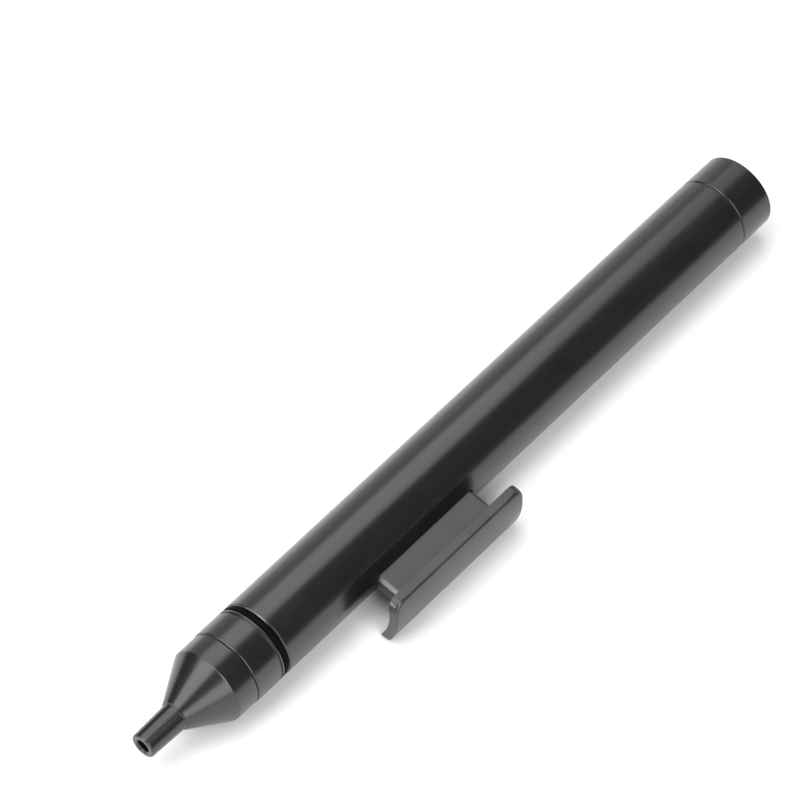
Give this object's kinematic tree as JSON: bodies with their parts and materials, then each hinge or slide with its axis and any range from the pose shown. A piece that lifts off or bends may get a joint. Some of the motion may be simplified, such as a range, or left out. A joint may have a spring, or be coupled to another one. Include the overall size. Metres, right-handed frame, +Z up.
{
  "type": "vacuum pick up pen",
  "caption": "Slim black hand-held vacuum pick-up pen: a tube with a side press button over a rubber bulb, a tapered nose that takes nozzles, and a flush tail cap.",
  "frame": {"origin": "on the ground under the middle of the pen's bounding box, with the pen lying at rest on its barrel and the edge of its button", "axes": "+X along the pen from the tip to the tail, +Z up from the ground, button towards -Y"},
  "size_m": [0.1348, 0.0194, 0.0127],
  "materials": {
    "black_metal": "satin",
    "seal_rubber": "matte",
    "bulb_rubber": "matte",
    "button_plastic": "matte"
  },
  "bodies": {
    "pen": {"nose_cone": "black_metal", "nose_gasket": "seal_rubber", "nose_collar": "black_metal", "nose_o_ring": "seal_rubber", "barrel": "black_metal", "squeeze_bulb": "bulb_rubber", "tail_cap": "black_metal"},
    "press_button": {"button": "button_plastic", "presser_shoe": "button_plastic"}
  },
  "joints": [
    {"name": "button_press", "type": "slide", "parent": "pen", "child": "press_button", "axis": [0, 0.9898, 0.1425], "range_m": [0, 0.0048], "stiffness_N_per_m": 500, "springref_m": -0.0008, "deforming": ["squeeze_bulb"]}
  ]
}
